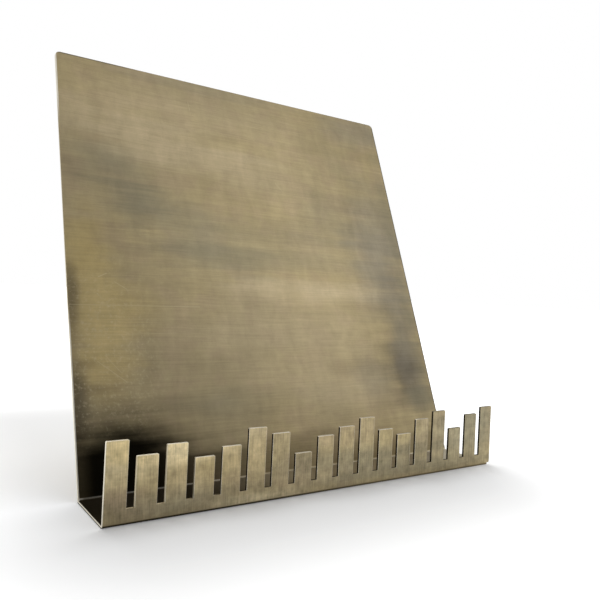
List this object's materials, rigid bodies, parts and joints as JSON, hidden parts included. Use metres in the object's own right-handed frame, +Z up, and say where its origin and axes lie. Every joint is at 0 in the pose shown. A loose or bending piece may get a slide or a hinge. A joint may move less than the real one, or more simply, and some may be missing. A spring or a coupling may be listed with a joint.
{
  "type": "leaning record stand",
  "caption": "Table stand for a record sleeve: folded brushed-brass sheet with a leaning back, shelf and cut-out lip, on a hinged bent-rod leg.",
  "frame": {"origin": "centre of the shelf's underside, on the surface that the stand rests on", "axes": "+X along the stand's width, to the right seen from the front; -Y out of the lip's front; +Z up"},
  "size_m": [0.305, 0.2103, 0.2983],
  "materials": {
    "antique_brass": "brushed along the width on the back and shelf, satin, aged unevenly",
    "dark_brass": "darkened brass, satin",
    "plated_fasteners": "dull zinc plate"
  },
  "bodies": {
    "stand": {"folded_sheet": "antique_brass", "hinge_leaf": "dark_brass", "hinge_studs": "plated_fasteners", "hinge_washers": "plated_fasteners", "hinge_nuts": "plated_fasteners"},
    "leg": {"easel_leg": "dark_brass"}
  },
  "joints": [
    {"name": "leg_fold", "type": "hinge", "parent": "stand", "child": "leg", "pos_m": [0, 0.1117, 0.21246], "axis": [-1, 0, 0], "range_deg": [0, 40]}
  ]
}
